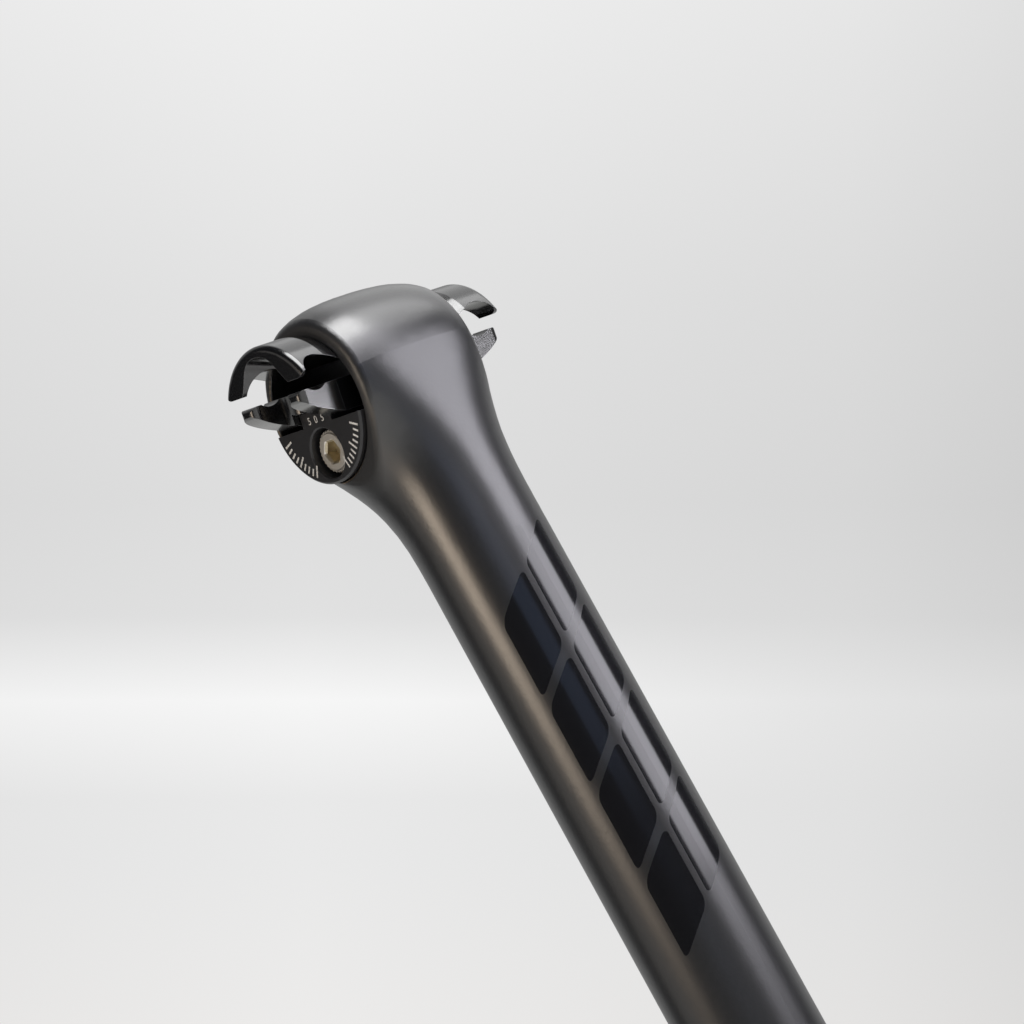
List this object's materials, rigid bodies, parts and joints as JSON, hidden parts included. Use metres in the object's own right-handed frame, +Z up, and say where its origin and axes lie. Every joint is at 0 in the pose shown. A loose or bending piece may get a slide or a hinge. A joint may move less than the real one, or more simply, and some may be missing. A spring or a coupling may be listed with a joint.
{
  "type": "bicycle seatpost",
  "caption": "Round carbon bicycle seatpost with a setback barrel head and a side-bolt wedge clamp that holds the saddle rails between an upper and a lower cradle and sets the saddle's tilt.",
  "frame": {"origin": "centre of the tube's lower end, on the tube axis", "axes": "+X forward on the bicycle, square to the tube; +Y to the rider's left, along the clamp's cross bore; +Z up along the tube"},
  "size_m": [0.0389, 0.0524, 0.35],
  "materials": {
    "carbon_satin_black": "satin black paint over moulded carbon fibre",
    "anodised_gloss_black": "polished and anodised gloss black",
    "anodised_satin_black": "machined and anodised satin black with pale engraved marks",
    "plated_steel": "nickel plated, bright"
  },
  "bodies": {
    "post": {"post_body": "carbon_satin_black"},
    "upper": {"upper_cradle": "anodised_gloss_black"},
    "lower": {"lower_cradle": "anodised_gloss_black"},
    "bolt_wedge": {"bolt_side_wedge": "anodised_satin_black"},
    "nut_wedge": {"nut_side_wedge": "anodised_satin_black"},
    "bolt": {"clamp_bolt": "plated_steel"}
  },
  "joints": [
    {"name": "saddle_tilt", "type": "hinge", "parent": "post", "child": "upper", "pos_m": [-0.0068, 0, 0.3294], "axis": [0, 1, 0], "continuous": true},
    {"name": "lower_drop", "type": "slide", "parent": "upper", "child": "lower", "axis": [-0.284, 0, -0.9588], "range_m": [0, 0.00081]},
    {"name": "bolt_wedge_slide", "type": "slide", "parent": "upper", "child": "bolt_wedge", "axis": [0, -1, 0], "range_m": [0, 0.002]},
    {"name": "nut_wedge_slide", "type": "slide", "parent": "upper", "child": "nut_wedge", "axis": [0, 1, 0], "range_m": [0, 0.002]},
    {"name": "bolt_turn", "type": "hinge", "parent": "bolt_wedge", "child": "bolt", "pos_m": [-0.00921, 0, 0.32125], "axis": [0, -1, 0], "range_deg": [0, 1800]}
  ],
  "couplings": [
    {"joint": "bolt_turn", "follows": "bolt_wedge_slide", "rad_per_m": 15708},
    {"joint": "nut_wedge_slide", "follows": "bolt_wedge_slide", "ratio": 1},
    {"joint": "lower_drop", "follows": "bolt_wedge_slide", "ratio": 0.40403}
  ]
}
